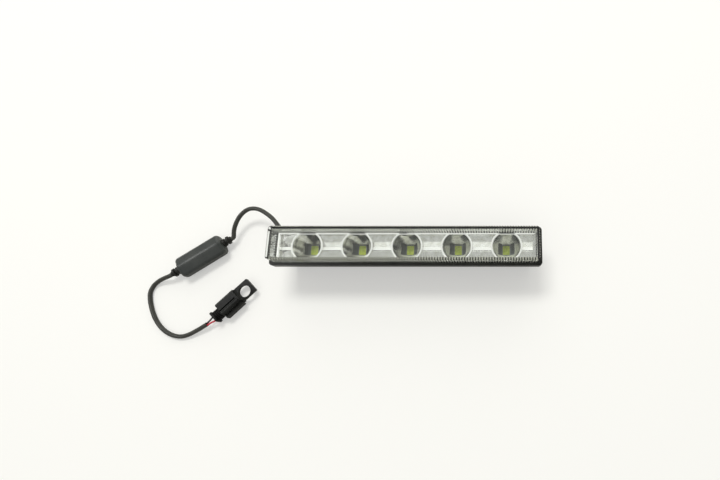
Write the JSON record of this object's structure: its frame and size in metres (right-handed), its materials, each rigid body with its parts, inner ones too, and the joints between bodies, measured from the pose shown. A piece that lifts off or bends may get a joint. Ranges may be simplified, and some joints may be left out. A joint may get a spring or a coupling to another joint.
{
  "type": "daytime running light",
  "caption": "Slim bar lamp with round chrome light cups behind a clear fluted lens, with a cord, an inline driver and a sealed connector with a fixing eye.",
  "frame": {"origin": "middle of the flat back of the lamp, which it lies on", "axes": "+X along the bar, away from the cord outlet; +Y across the bar, to the side of the cut-off corner; +Z out of the lens, the way the light goes"},
  "size_m": [0.2773, 0.0921, 0.041],
  "materials": {
    "housing": "satin black coat on cast aluminium",
    "seal": "matte black",
    "lens": "clear polycarbonate",
    "reflector": "vacuum metallised, mirror bright",
    "heat_pad": "soft grey silicone",
    "circuit_board": "white solder mask on an aluminium core",
    "led_body": "white ceramic",
    "led_phosphor": "yellow green phosphor in silicone",
    "screws": "zinc plated",
    "resistors": "black glaze",
    "grommet": "matte black",
    "wire_red": "red insulation",
    "wire_black": "black insulation",
    "cord": "satin black jacket",
    "driver_case": "moulded, slightly greyed black",
    "driver_board": "green solder mask",
    "driver_inductor": "dark ferrite",
    "driver_capacitor": "dark blue sleeve",
    "driver_chip": "moulded black",
    "connector": "black nylon",
    "connector_seal": "matte black",
    "terminal": "stamped brass"
  },
  "bodies": {
    "root": {"rear_housing": "housing", "lens_seal": "seal", "lens_cover": "lens", "reflector_bezel": "reflector", "heat_pad": "heat_pad", "circuit_board": "circuit_board", "led_body_1": "led_body", "led_body_2": "led_body", "led_body_3": "led_body", "led_body_4": "led_body", "led_body_5": "led_body", "led_phosphor_1": "led_phosphor", "led_phosphor_2": "led_phosphor", "led_phosphor_3": "led_phosphor", "led_phosphor_4": "led_phosphor", "led_phosphor_5": "led_phosphor", "board_screws": "screws", "board_resistors": "resistors", "outlet_grommet": "grommet", "inner_lead_red": "wire_red", "inner_lead_black": "wire_black", "lamp_cord": "cord", "driver_case_lower": "driver_case", "driver_case_upper": "driver_case", "driver_board": "driver_board", "driver_inductor": "driver_inductor", "driver_capacitor": "driver_capacitor", "driver_chip": "driver_chip", "driver_relief_in": "grommet", "driver_relief_out": "grommet", "plug_cord": "cord", "wire_red": "wire_red", "wire_black": "wire_black", "connector_cap": "connector", "connector_seal": "connector_seal", "connector_housing": "connector", "terminal_red": "terminal", "terminal_black": "terminal"}
  },
  "joints": []
}
